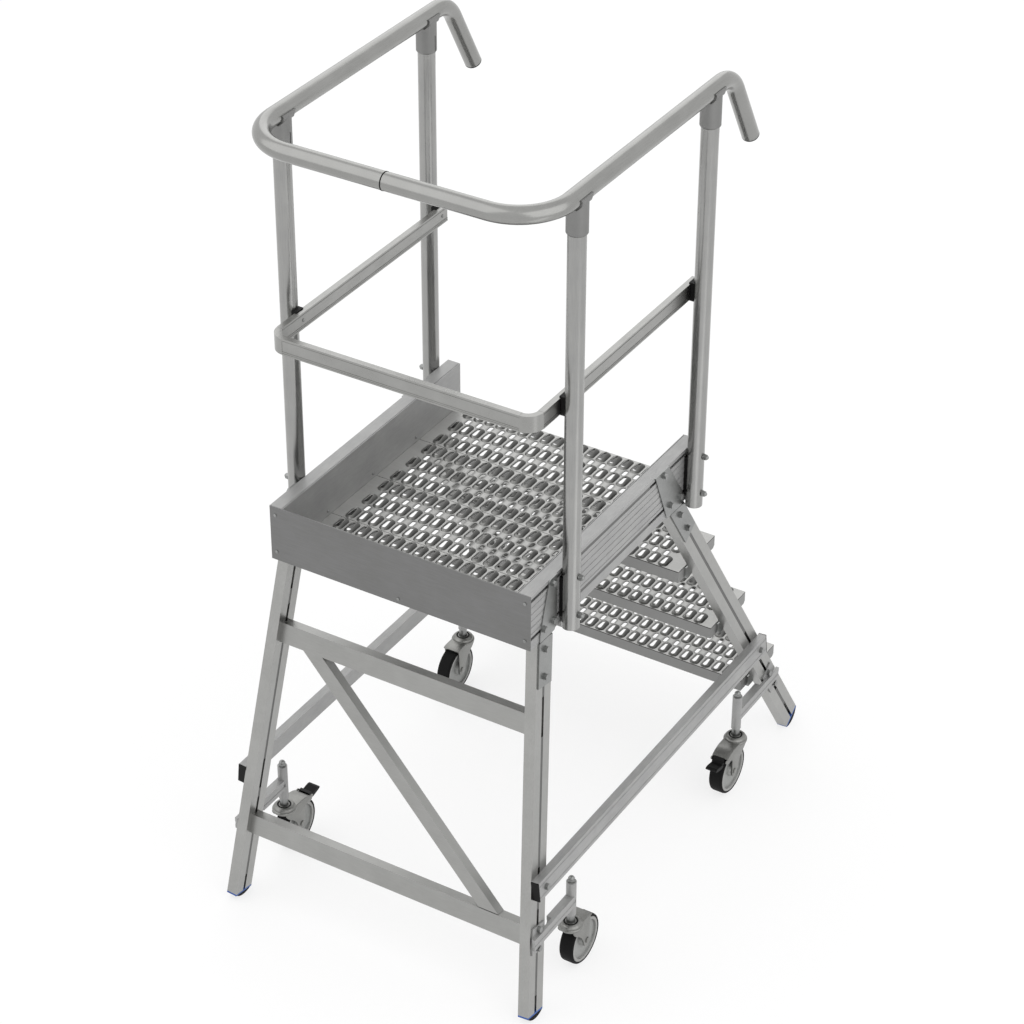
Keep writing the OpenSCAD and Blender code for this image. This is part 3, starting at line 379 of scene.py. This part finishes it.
# Bare folded aluminium sheet of the kick plate: an even dull grey.
KICK_SHEET = Finish("folded_aluminium_kick_plate", "787877", "808080", metallic=1.0,
                    roughness=0.4, grain_mm=1.5, grain=Grain.ALONG_X, bump=0.04, spread=0.04)
# Zinc plated pressed steel: bright grey with a slightly cloudy plating.
ZINC = Finish("zinc_plated_steel", "868786", "9C9D9C", metallic=1.0, roughness=0.32, grain_mm=2.5,
              bump=0.06, spread=0.08)
# Zinc plated castor fork: rounder, a little duller from the pressing.
FORK_ZINC = Finish("zinc_plated_fork", "7E7E7C", "949491", metallic=1.0, roughness=0.36,
                   grain_mm=2.5, bump=0.06, spread=0.08)
# Moulded polyamide: near black with a fine spark-eroded skin.
POLYAMIDE = Finish("moulded_black_polyamide", "050505", "0B0B0B", metallic=0.0, roughness=0.5,
                   grain_mm=0.5, bump=0.2, spread=0.08, specular=0.18)
# Dyed polyethylene foot plug: a dull deep blue.
BLUE_PLUG = Finish("moulded_blue_polyethylene", "1B3E80", "2A5BA8", metallic=0.0, roughness=0.45,
                   grain_mm=0.6, bump=0.12)
# Black tyre rubber: dull, with a faint dusting.
RUBBER = Finish("moulded_rubber", "070707", "0F0F0F", metallic=0.0, roughness=0.66, grain_mm=0.8,
                bump=0.3, spread=0.08, specular=0.16)
# Moulded wheel centre: smooth mid grey polyamide.
WHEEL_GREY = Finish("moulded_grey_wheel_centre", "868785", "969795", metallic=0.1, roughness=0.42,
                    grain_mm=2.0, bump=0.05)
# Pressed wheel rim, seen as a paler ring.
RIM = Finish("pressed_rim_ring", "8E8E8C", "A0A09E", metallic=0.6, roughness=0.36, grain_mm=2.0,
             bump=0.04)
# The lip of a punched slot: this tone along the crown is a painted highlight over shaded flanks.
LIP = PressedLip("pressed_aluminium_slot_lip", "8C8C8A", "A0A09E", metallic=1.0, roughness=0.3,
                 grain_mm=1.4, grain=Grain.ALONG_X, bump=0.05, spread=0.05)


class Build:
    """Small bmesh tools shared by the fittings."""

    @staticmethod
    def finish_mesh(name: str, bm: bmesh.types.BMesh, mat: bpy.types.Material,
                    body: str, slot: str, smooth: bool = True) -> bpy.types.Object:
        """Turns a bmesh into an object that rides on a body.

        Args:
            name: The piece's name.
            bm: The finished bmesh, placed in the shared frame.
            mat: Its material.
            body: CAD body that it rides on.
            slot: Not used.
            smooth: Whether its curves are shaded smooth; folded sheet stays flat.

        Returns:
            The new object.
        """
        bmesh.ops.recalc_face_normals(bm, faces=bm.faces)
        mesh = bpy.data.meshes.new(name)
        bm.to_mesh(mesh)
        bm.free()
        mesh.materials.append(mat)
        if smooth:
            mesh.shade_smooth()
            mesh.set_sharp_from_angle(angle=SMOOTH_ANGLE)
        else:
            mesh.shade_flat()
        piece = bpy.data.objects.new(name, mesh)
        bpy.context.scene.collection.objects.link(piece)
        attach(piece, body)
        log.info("%s: %d faces", name, len(mesh.polygons))
        return piece

    @staticmethod
    def ring(bm: bmesh.types.BMesh, profile: list[tuple[float, float]], centre: Vector,
             axis: Vector, steps: int = 64) -> None:
        """Spins a closed profile of (radius, height) points round an axis.

        Args:
            bm: Bmesh that receives the ring.
            profile: Points of the closed section.
            centre: Point on the axis where height is zero.
            axis: Direction of the axis.
            steps: Number of segments round the ring.
        """
        turn = UP.rotation_difference(axis).to_matrix().to_4x4()
        place = Matrix.Translation(centre) @ turn
        verts = [bm.verts.new(place @ Vector((r, 0, h))) for r, h in profile]
        edges = [bm.edges.new((verts[i], verts[(i + 1) % len(verts)])) for i in range(len(verts))]
        bmesh.ops.spin(bm, geom=verts + edges, cent=centre, axis=axis.normalized(),
                       angle=math.tau, steps=steps, use_merge=True, use_duplicate=False)
        bmesh.ops.remove_doubles(bm, verts=bm.verts, dist=DOUBLES)


@dataclass
class Metalwork:
    """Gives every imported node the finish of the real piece."""
    finishes: dict[str, Finish] = field(default_factory=lambda: {
        "side_rail": MILL_ALONG, "slot_covers": SLOT_STRIP, "kick_plate": KICK_SHEET,
        "deck_screws": ZINC, "handrail_left": RAIL_TUBE, "handrail_right": RAIL_TUBE,
        "handrail_fittings": POLYAMIDE, "post_pads": POLYAMIDE, "post_bolts": ZINC,
        "post_": POST_TUBE, "tee_clamps": CAST, "knee_rail": KNEE_TUBE,
        "knee_clips": POLYAMIDE, "gussets": ZINC, "frame_bolts": ZINC, "arm_bolts": ZINC,
        "leg_": MILL_UPRIGHT, "stile_": MILL_UPRIGHT, "upper_beam": MILL_CROSS,
        "lower_beam": MILL_CROSS, "diagonal_brace": MILL_CROSS, "tread_brackets": ZINC,
        "struts": MILL_ALONG, "strut_caps": POLYAMIDE, "foot_plugs": BLUE_PLUG,
        "foot_soles": RUBBER, "castor_arms": MILL_ALONG, "stem_": ZINC, "fork_": FORK_ZINC,
        "hub_": WHEEL_GREY, "tyre_": RUBBER, "pedal_": POLYAMIDE})

    def dress(self) -> None:
        """Puts one shared material on each node, and its own on each walking sheet."""
        made: dict[str, bpy.types.Material] = {}
        for name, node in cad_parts.items():
            if is_walking_sheet(name):
                mat = self.sheet_for(name).build()
            else:
                key = max((k for k in self.finishes if name.startswith(k)), key=len)
                if key not in made:
                    made[key] = self.finishes[key].build()
                mat = made[key]
            node.data.materials.clear()
            node.data.materials.append(mat)

    def sheet_for(self, name: str) -> PunchedSheet:
        """Describes a walking sheet's finish, centred on the node's own middle.

        Args:
            name: The plank's or tread's node.

        Returns:
            The finish, not yet built.
        """
        low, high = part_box(name)
        return PunchedSheet("rolled_aluminium_" + name, "AAAAA8", "B6B6B4", metallic=0.62,
                            roughness=0.46, grain_mm=1.4, grain=Grain.ALONG_X, bump=0.2,
                            centre_y=(low[1] + high[1]) / 2, long_slots=SlotLips.count(name))


@dataclass
class SlotLips:
    """Raised lips that the punch leaves round the long slots of every walking sheet."""
    # half width and height over the sheet, in metres, round the lip's closed section
    section: tuple[tuple[float, float], ...] = (
        (0.0133, -0.0003), (0.0126, 0.0008), (0.0080, 0.0051), (0.0070, 0.0054), (0.0064, 0.0049),
        (0.0080, 0.0022), (0.0096, -0.0006))
    steps: int = 16
    # how far a collar that is pressed flat still stands over its sheet, in metres
    pressed: float = 0.0001
    # share by which the opening narrows, and its lean to one side in metres
    taper: float = 0.7
    lean: float = 0.001
    # height of the near end against the rest, and how fast it rises along the lip
    low_end: float = 0.62
    climb: float = 2.6
    # points lower than this stay on the sheet
    root: float = 0.002

    @staticmethod
    def count(name: str) -> int:
        """Returns the number of long slots in one row of a sheet."""
        low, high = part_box(name)
        return math.floor((high[0] - low[0] - 2 * END_MARGIN) / SLOT_PITCH) + 1

    def flatten(self, name: str) -> None:
        """Replaces a sheet by a copy whose square collars are pressed flat under the lips.

        Args:
            name: The plank's or tread's node.
        """
        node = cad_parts[name]
        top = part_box(name)[1][2] - COLLAR
        bm = bmesh.new()
        bm.from_mesh(node.data)
        bmesh.ops.remove_doubles(bm, verts=bm.verts, dist=DOUBLES)
        for vert in bm.verts:
            if vert.co.z > top + self.pressed:
                vert.co.z = top + self.pressed
        piece = Build.finish_mesh("sheet_" + name, bm, node.data.materials[0], "frame",
                                  "perforated_sheet", smooth=False)
        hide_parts(name)

    def one_lip(self) -> bmesh.types.BMesh:
        """Builds a single long lip round the origin.

        Returns:
            A bmesh that the caller frees.
        """
        bm = bmesh.new()
        start = math.pi / self.steps
        verts = [bm.verts.new((r * math.cos(start), r * math.sin(start), h))
                 for r, h in self.section]
        edges = [bm.edges.new((verts[i - 1], verts[i])) for i in range(len(verts))]
        bmesh.ops.spin(bm, geom=verts + edges, cent=(0, 0, 0), axis=(0, 0, 1), angle=math.tau,
                       steps=self.steps, use_merge=True, use_duplicate=False)
        bmesh.ops.remove_doubles(bm, verts=bm.verts, dist=DOUBLES)
        for side in (-1, 1):
            bmesh.ops.translate(bm, verts=[v for v in bm.verts if v.co.y * side > 0],
                                vec=(0, side * SLOT_BEND, 0))
        # the opening tapers away from the nose: a broad far flank, and a near end that stands low
        reach = SLOT_BEND + self.section[0][0]
        for vert in bm.verts:
            along = (vert.co.y / reach + 1) / 2
            if vert.co.z > self.root:
                vert.co.x = vert.co.x * (1.0 - self.taper * along) - self.lean
                vert.co.z *= self.low_end + (1.0 - self.low_end) * min(
                    1.0, max(0.0, along * self.climb))
        bmesh.ops.recalc_face_normals(bm, faces=bm.faces)
        return bm

    def build(self) -> None:
        """Lays the lips over each plank and tread, three rows to a sheet."""
        lip = self.one_lip()
        stamp = bpy.data.meshes.new("lip_stamp")
        lip.to_mesh(stamp)
        lip.free()
        mat = LIP.build()
        for name in list(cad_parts):
            if not is_walking_sheet(name):
                continue
            low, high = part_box(name)
            count = self.count(name)
            self.flatten(name)
            bm = bmesh.new()
            for row in (-1, 0, 1):
                for i in range(count):
                    known = len(bm.verts)
                    bm.from_mesh(stamp)
                    bm.verts.ensure_lookup_table()
                    bmesh.ops.translate(bm, verts=bm.verts[known:], vec=(
                        (i - (count - 1) / 2) * SLOT_PITCH,
                        (low[1] + high[1]) / 2 + row * ROW_STEP, high[2] - COLLAR))
            Build.finish_mesh("lips_" + name, bm, mat, "frame", "aluminium")
        bpy.data.meshes.remove(stamp)


@dataclass
class Castors:
    """Pressed swivel forks, seals and bright rims of the four castors, sizes in mm."""
    wheel_r: float = 62.5
    trail: float = 40.0
    cheek_in: float = 19.2
    cheek_out: float = 22.2
    cheek_edge: float = 0.9
    axle_r: float = 6.0
    # the hood over the tyre: inner and outer radius, front end, overhang and rounded edge
    hood_r: tuple[float, float] = (66.4, 70.6)
    hood_front: float = 8.0
    hood_over: float = 0.8
    hood_edge: float = 1.9
    # where the hood ends behind the axle, in degrees from level, with and without a brake
    hood_end: tuple[float, float] = (56.0, 74.0)
    # axle boss, as radius and distance from the cheek's outer face
    boss: tuple[tuple[float, float], ...] = (
        (0.0, -0.4), (7.4, -0.4), (7.4, 1.8), (6.0, 2.8), (0.0, 3.0))
    # seal ring on the head, as radius and height over the floor
    seal: tuple[tuple[float, float], ...] = (
        (13.5, 140.2), (16.7, 140.2), (16.9, 141.9), (15.6, 142.4), (13.7, 141.8))
    # bright rim ring, as radius and depth under the tyre's side
    rim: tuple[tuple[float, float], ...] = (
        (48.6, 3.0), (55.6, 3.0), (55.6, 0.9), (53.8, 0.3), (49.4, 0.9))
    # round head, as radius and height, then the cheek's outline, as trail and height: its front
    # and underside, and its back without and with a brake
    head: tuple[tuple[float, float], ...] = (
        (0.0, 126.6), (29.0, 126.6), (29.7, 129.0), (29.4, 131.6), (28.2, 133.0), (26.6, 133.6),
        (26.8, 134.8), (26.3, 137.0), (24.0, 139.7), (20.5, 141.6), (17.6, 142.3), (16.8, 140.4),
        (13.4, 140.4), (13.0, 142.0), (11.4, 142.4), (10.2, 141.8), (10.2, 134.2), (0.0, 134.2))
    front: tuple[tuple[float, float], ...] = (
        (-21.5, 128.0), (-21.0, 122.0), (-16.0, 114.0), (-8.0, 106.5), (2.0, 99.0), (11.0, 90.0),
        (18.0, 80.0), (23.0, 69.0), (25.5, 59.0), (27.5, 52.5), (31.5, 48.3), (38.0, 46.6),
        (44.0, 47.4), (49.0, 51.2), (51.5, 58.0), (52.0, 68.0), (52.0, 84.0))
    plain_back: tuple[tuple[float, float], ...] = (
        (52.5, 104.0), (54.0, 118.0), (55.0, 125.0), (53.0, 128.2), (49.0, 129.8), (40.0, 130.6),
        (20.0, 130.6), (0.0, 129.0))
    braked_back: tuple[tuple[float, float], ...] = (
        (52.5, 98.0), (56.0, 106.0), (64.0, 109.0), (70.0, 107.0), (77.0, 106.2), (83.0, 109.6),
        (88.0, 114.6), (89.6, 118.2), (88.0, 120.8), (84.0, 121.6), (78.0, 121.0), (70.0, 124.4),
        (60.0, 128.2), (50.0, 130.2), (40.0, 130.6), (20.0, 130.6), (0.0, 129.0))

    def slab(self, bm: bmesh.types.BMesh, outline: list[tuple[float, float]],
             x0: float, x1: float, round_mm: float) -> None:
        """Extrudes a closed side outline between two X planes and rounds its edges.

        Args:
            bm: Bmesh that receives the slab, in mm.
            outline: Points along the trail and up.
            x0: First plane.
            x1: Second plane.
            round_mm: Radius of the rounded long edges.
        """
        made = bmesh.new()
        face = made.faces.new([made.verts.new((x0, u, z)) for u, z in outline])
        grown = bmesh.ops.extrude_face_region(made, geom=[face])["geom"]
        bmesh.ops.translate(made, verts=[g for g in grown if isinstance(g, bmesh.types.BMVert)],
                            vec=(x1 - x0, 0, 0))
        rims = [e for e in made.edges if abs(e.verts[0].co.x - e.verts[1].co.x) < DOUBLES]
        bmesh.ops.bevel(made, geom=rims, offset=round_mm, offset_type="OFFSET", segments=3,
                        profile=0.5, affect="EDGES", clamp_overlap=True, material=-1)
        mesh = bpy.data.meshes.new("slab")
        made.to_mesh(mesh)
        made.free()
        bm.from_mesh(mesh)
        bpy.data.meshes.remove(mesh)

    def axle(self) -> Vector:
        """Returns the axle's middle, from the swivel axis at floor level."""
        return Vector((0, self.trail, self.wheel_r))

    def hood(self, end: float) -> list[tuple[float, float]]:
        """Outline of the hood strip that wraps the tyre down to an angle.

        Args:
            end: Angle in degrees from level where the hood ends behind the axle.

        Returns:
            Closed outline along the trail and up.
        """
        spans = 8
        turns = [math.radians(90 - (90 - end) * i / spans) for i in range(spans + 1)]
        inner, outer = ([(self.hood_front, self.wheel_r + r)] + [
            (self.trail + r * math.cos(turn), self.wheel_r + r * math.sin(turn))
            for turn in turns] for r in self.hood_r)
        return outer + inner[::-1]

    def fork(self, corner: str, mat: bpy.types.Material, place: Matrix) -> None:
        """Builds one fork in mm round its swivel axis and sets it in place.

        Args:
            corner: Corner name, such as "near_left".
            mat: The plated finish.
            place: Matrix from the fork's mm to the shared frame.
        """
        braked = "pedal_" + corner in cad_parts
        outline = list(self.front) + list(self.braked_back if braked else self.plain_back)
        axle, out = self.axle(), self.cheek_out
        bm = bmesh.new()
        for side in (-1, 1):
            self.slab(bm, outline, side * self.cheek_in, side * out, self.cheek_edge)
            Build.ring(bm, [(r, out + h) for r, h in self.boss], axle, Vector((side, 0, 0)), 32)
        Build.ring(bm, [(0.0, -out), (self.axle_r, -out), (self.axle_r, out), (0.0, out)],
                   axle, Vector((1, 0, 0)), 32)
        self.slab(bm, self.hood(self.hood_end[0 if braked else 1]), -out - self.hood_over,
                  out + self.hood_over, self.hood_edge)
        Build.ring(bm, list(self.head), Vector(), UP)
        bm.transform(place)
        piece = Build.finish_mesh("swivel_" + corner, bm, mat, f"fork_{corner}_body", "zinc_steel")
        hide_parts("fork_" + corner)

    def build(self) -> None:
        """Builds the forks, the seal rings and the rim rings of all four castors."""
        plated, black, bright = FORK_ZINC.build(), POLYAMIDE.build(), RIM.build()
        for corner in CORNERS:
            low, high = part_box("tyre_" + corner)
            stem = sum(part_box("stem_" + corner), Vector()) / 2
            back = math.copysign(1.0, (low.y + high.y) / 2 - stem.y)
            place = (Matrix.Translation((stem.x, stem.y, 0))
                     @ Matrix.Diagonal((MM, MM * back, MM, 1)))
            self.fork(corner, plated, place)
            bm = bmesh.new()
            Build.ring(bm, list(self.seal), Vector(), UP, 48)
            bm.transform(place)
            Build.finish_mesh("seal_" + corner, bm, black, f"fork_{corner}_body", "black_plastic")
            bm = bmesh.new()
            half = (high.x - low.x) / 2 / MM
            for side in (-1, 1):
                Build.ring(bm, [(r, half - deep) for r, deep in self.rim], self.axle(),
                           Vector((side, 0, 0)), 96)
            bm.transform(place)
            Build.finish_mesh("rim_" + corner, bm, bright, f"wheel_{corner}_body", "zinc_steel")


@dataclass
class Studio:
    """Pale floor, soft lamps and the camera at the photograph's angle."""
    # angles in degrees, and focal length and principal point in pixels of a square picture
    azimuth: float = 31.533
    elevation: float = 33.564
    focal_px: float = 2943.4
    principal: tuple[float, float] = (499.31, 502.76)
    picture_px: int = 1024
    sensor_mm: float = 36.0
    # where the camera stands, measured from the kick plate's outer face, in metres
    centre: tuple[float, float, float] = (2.9228, -4.3417, 4.6678)
    kick_y: float = 0.0
    # the floor lies a hair under height zero, and this share of what is seen of it is plain white
    floor_drop: float = 0.0005
    floor_white: float = 0.75

    def floor(self) -> None:
        """Lays a large pale floor under the feet and wheels."""
        bm = bmesh.new()
        bmesh.ops.create_grid(bm, x_segments=1, y_segments=1, size=30)
        mesh = bpy.data.meshes.new("floor")
        bm.to_mesh(mesh)
        bm.free()
        obj = bpy.data.objects.new("floor", mesh)
        obj.data.transform(Matrix.Translation((0, 0, -self.floor_drop)))
        bpy.context.scene.collection.objects.link(obj)
        mesh.materials.append(self.floor_material())

    def floor_material(self) -> bpy.types.Material:
        """Matt white floor paint that the camera and the metal see near white.

        Returns:
            The material; part of its shading stays, so the shadow shows.
        """
        mat = bpy.data.materials.new("matt_white_floor")
        mat.use_nodes = True
        tree = mat.node_tree
        shader = tree.nodes["Principled BSDF"]
        shader.inputs["Base Color"].default_value = linear("F4F4F4")
        shader.inputs["Roughness"].default_value = 0.9
        glow = add(tree, "ShaderNodeEmission", None, {"Color": (1, 1, 1, 1), "Strength": 1.0})
        share = add(tree, "ShaderNodeMath", {0: self.seen(tree)}, {1: self.floor_white},
                    operation="MULTIPLY")
        mix = add(tree, "ShaderNodeMixShader", {0: share.outputs[0], 1: shader.outputs[0],
                                                2: glow.outputs[0]})
        tree.links.new(mix.outputs[0], tree.nodes["Material Output"].inputs[0])
        return mat

    def seen(self, tree: Tree) -> Socket:
        """Finds the rays in which the camera, metal or glass sees the background.

        Args:
            tree: The material's node tree.

        Returns:
            The socket that is 1 for those rays.
        """
        path = add(tree, "ShaderNodeLightPath")
        either = add(tree, "ShaderNodeMath", {0: path.outputs["Is Camera Ray"],
                     1: path.outputs["Is Glossy Ray"]}, operation="MAXIMUM")
        return add(tree, "ShaderNodeMath", {0: either.outputs[0],
                   1: path.outputs["Is Transmission Ray"]}, operation="MAXIMUM").outputs[0]

    def lamp(self, name: str, place: Vector, size: tuple[float, float], power: float,
             target: Vector = Vector((0, 0, 0.9))) -> None:
        """Adds one area lamp that faces the object.

        Args:
            name: The lamp's name.
            place: Where it hangs, in metres.
            size: Its two sides.
            power: Watts.
            target: Point that it faces.
        """
        data = bpy.data.lights.new(name, "AREA")
        data.shape = "RECTANGLE"
        data.size, data.size_y, data.energy = size[0], size[1], power
        obj = bpy.data.objects.new(name, data)
        obj.location = place
        obj.rotation_euler = (target - place).to_track_quat("-Z", "Y").to_euler()
        obj.visible_camera = False
        bpy.context.scene.collection.objects.link(obj)

    def light(self) -> None:
        """Sets the world and the lamps."""
        world = bpy.data.worlds.new("soft_room")
        world.use_nodes = True
        backdrop = world.node_tree.nodes["Background"].inputs
        backdrop["Color"].default_value = linear("FFFFFF")
        backdrop["Strength"].default_value = 1.0
        bpy.context.scene.world = world
        self.lamp("key", Vector((-3.5, -3.5, 5.5)), (8.0, 8.0), 110)
        self.lamp("fill", Vector((4.5, -1.0, 3.5)), (6.0, 6.0), 70)
        self.lamp("back", Vector((-2.6, 4.3, 4.2)), (4.0, 4.0), 32)
        # a soft card on the floor that lights the feet and legs from below
        self.lamp("low_side", Vector((2.1, -0.95, 0.02)), (1.9, 0.8), 2.2,
                  Vector((2.1, -0.95, 1.0)))

    def camera(self) -> None:
        """Places the camera that was solved for the photograph."""
        az, el = math.radians(self.azimuth), math.radians(self.elevation)
        back = Vector((math.sin(az) * math.cos(el), -math.cos(az) * math.cos(el), math.sin(el)))
        data = bpy.data.cameras.new("photo_camera")
        data.sensor_fit, data.sensor_width = "HORIZONTAL", self.sensor_mm
        data.lens = self.focal_px * self.sensor_mm / self.picture_px
        data.shift_x = (self.picture_px / 2 - self.principal[0]) / self.picture_px
        data.shift_y = (self.principal[1] - self.picture_px / 2) / self.picture_px
        data.clip_end = 100
        obj = bpy.data.objects.new("photo_camera", data)
        obj.location = Vector(self.centre) + Vector((0, self.kick_y, 0))
        obj.rotation_euler = back.to_track_quat("Z", "Y").to_euler()
        bpy.context.scene.collection.objects.link(obj)
        bpy.context.scene.camera = obj

    def build(self) -> None:
        """Builds the whole stage."""
        self.floor()
        self.light()
        self.camera()
        bpy.context.scene.view_settings.view_transform = "Standard"


def main() -> None:
    """Builds every sub-assembly in order."""
    logging.basicConfig(level=logging.INFO)
    Studio(kick_y=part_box("kick_plate")[0][1]).build()
    Metalwork().dress()
    SlotLips().build()
    Castors().build()


if __name__ == "__main__":
    main()
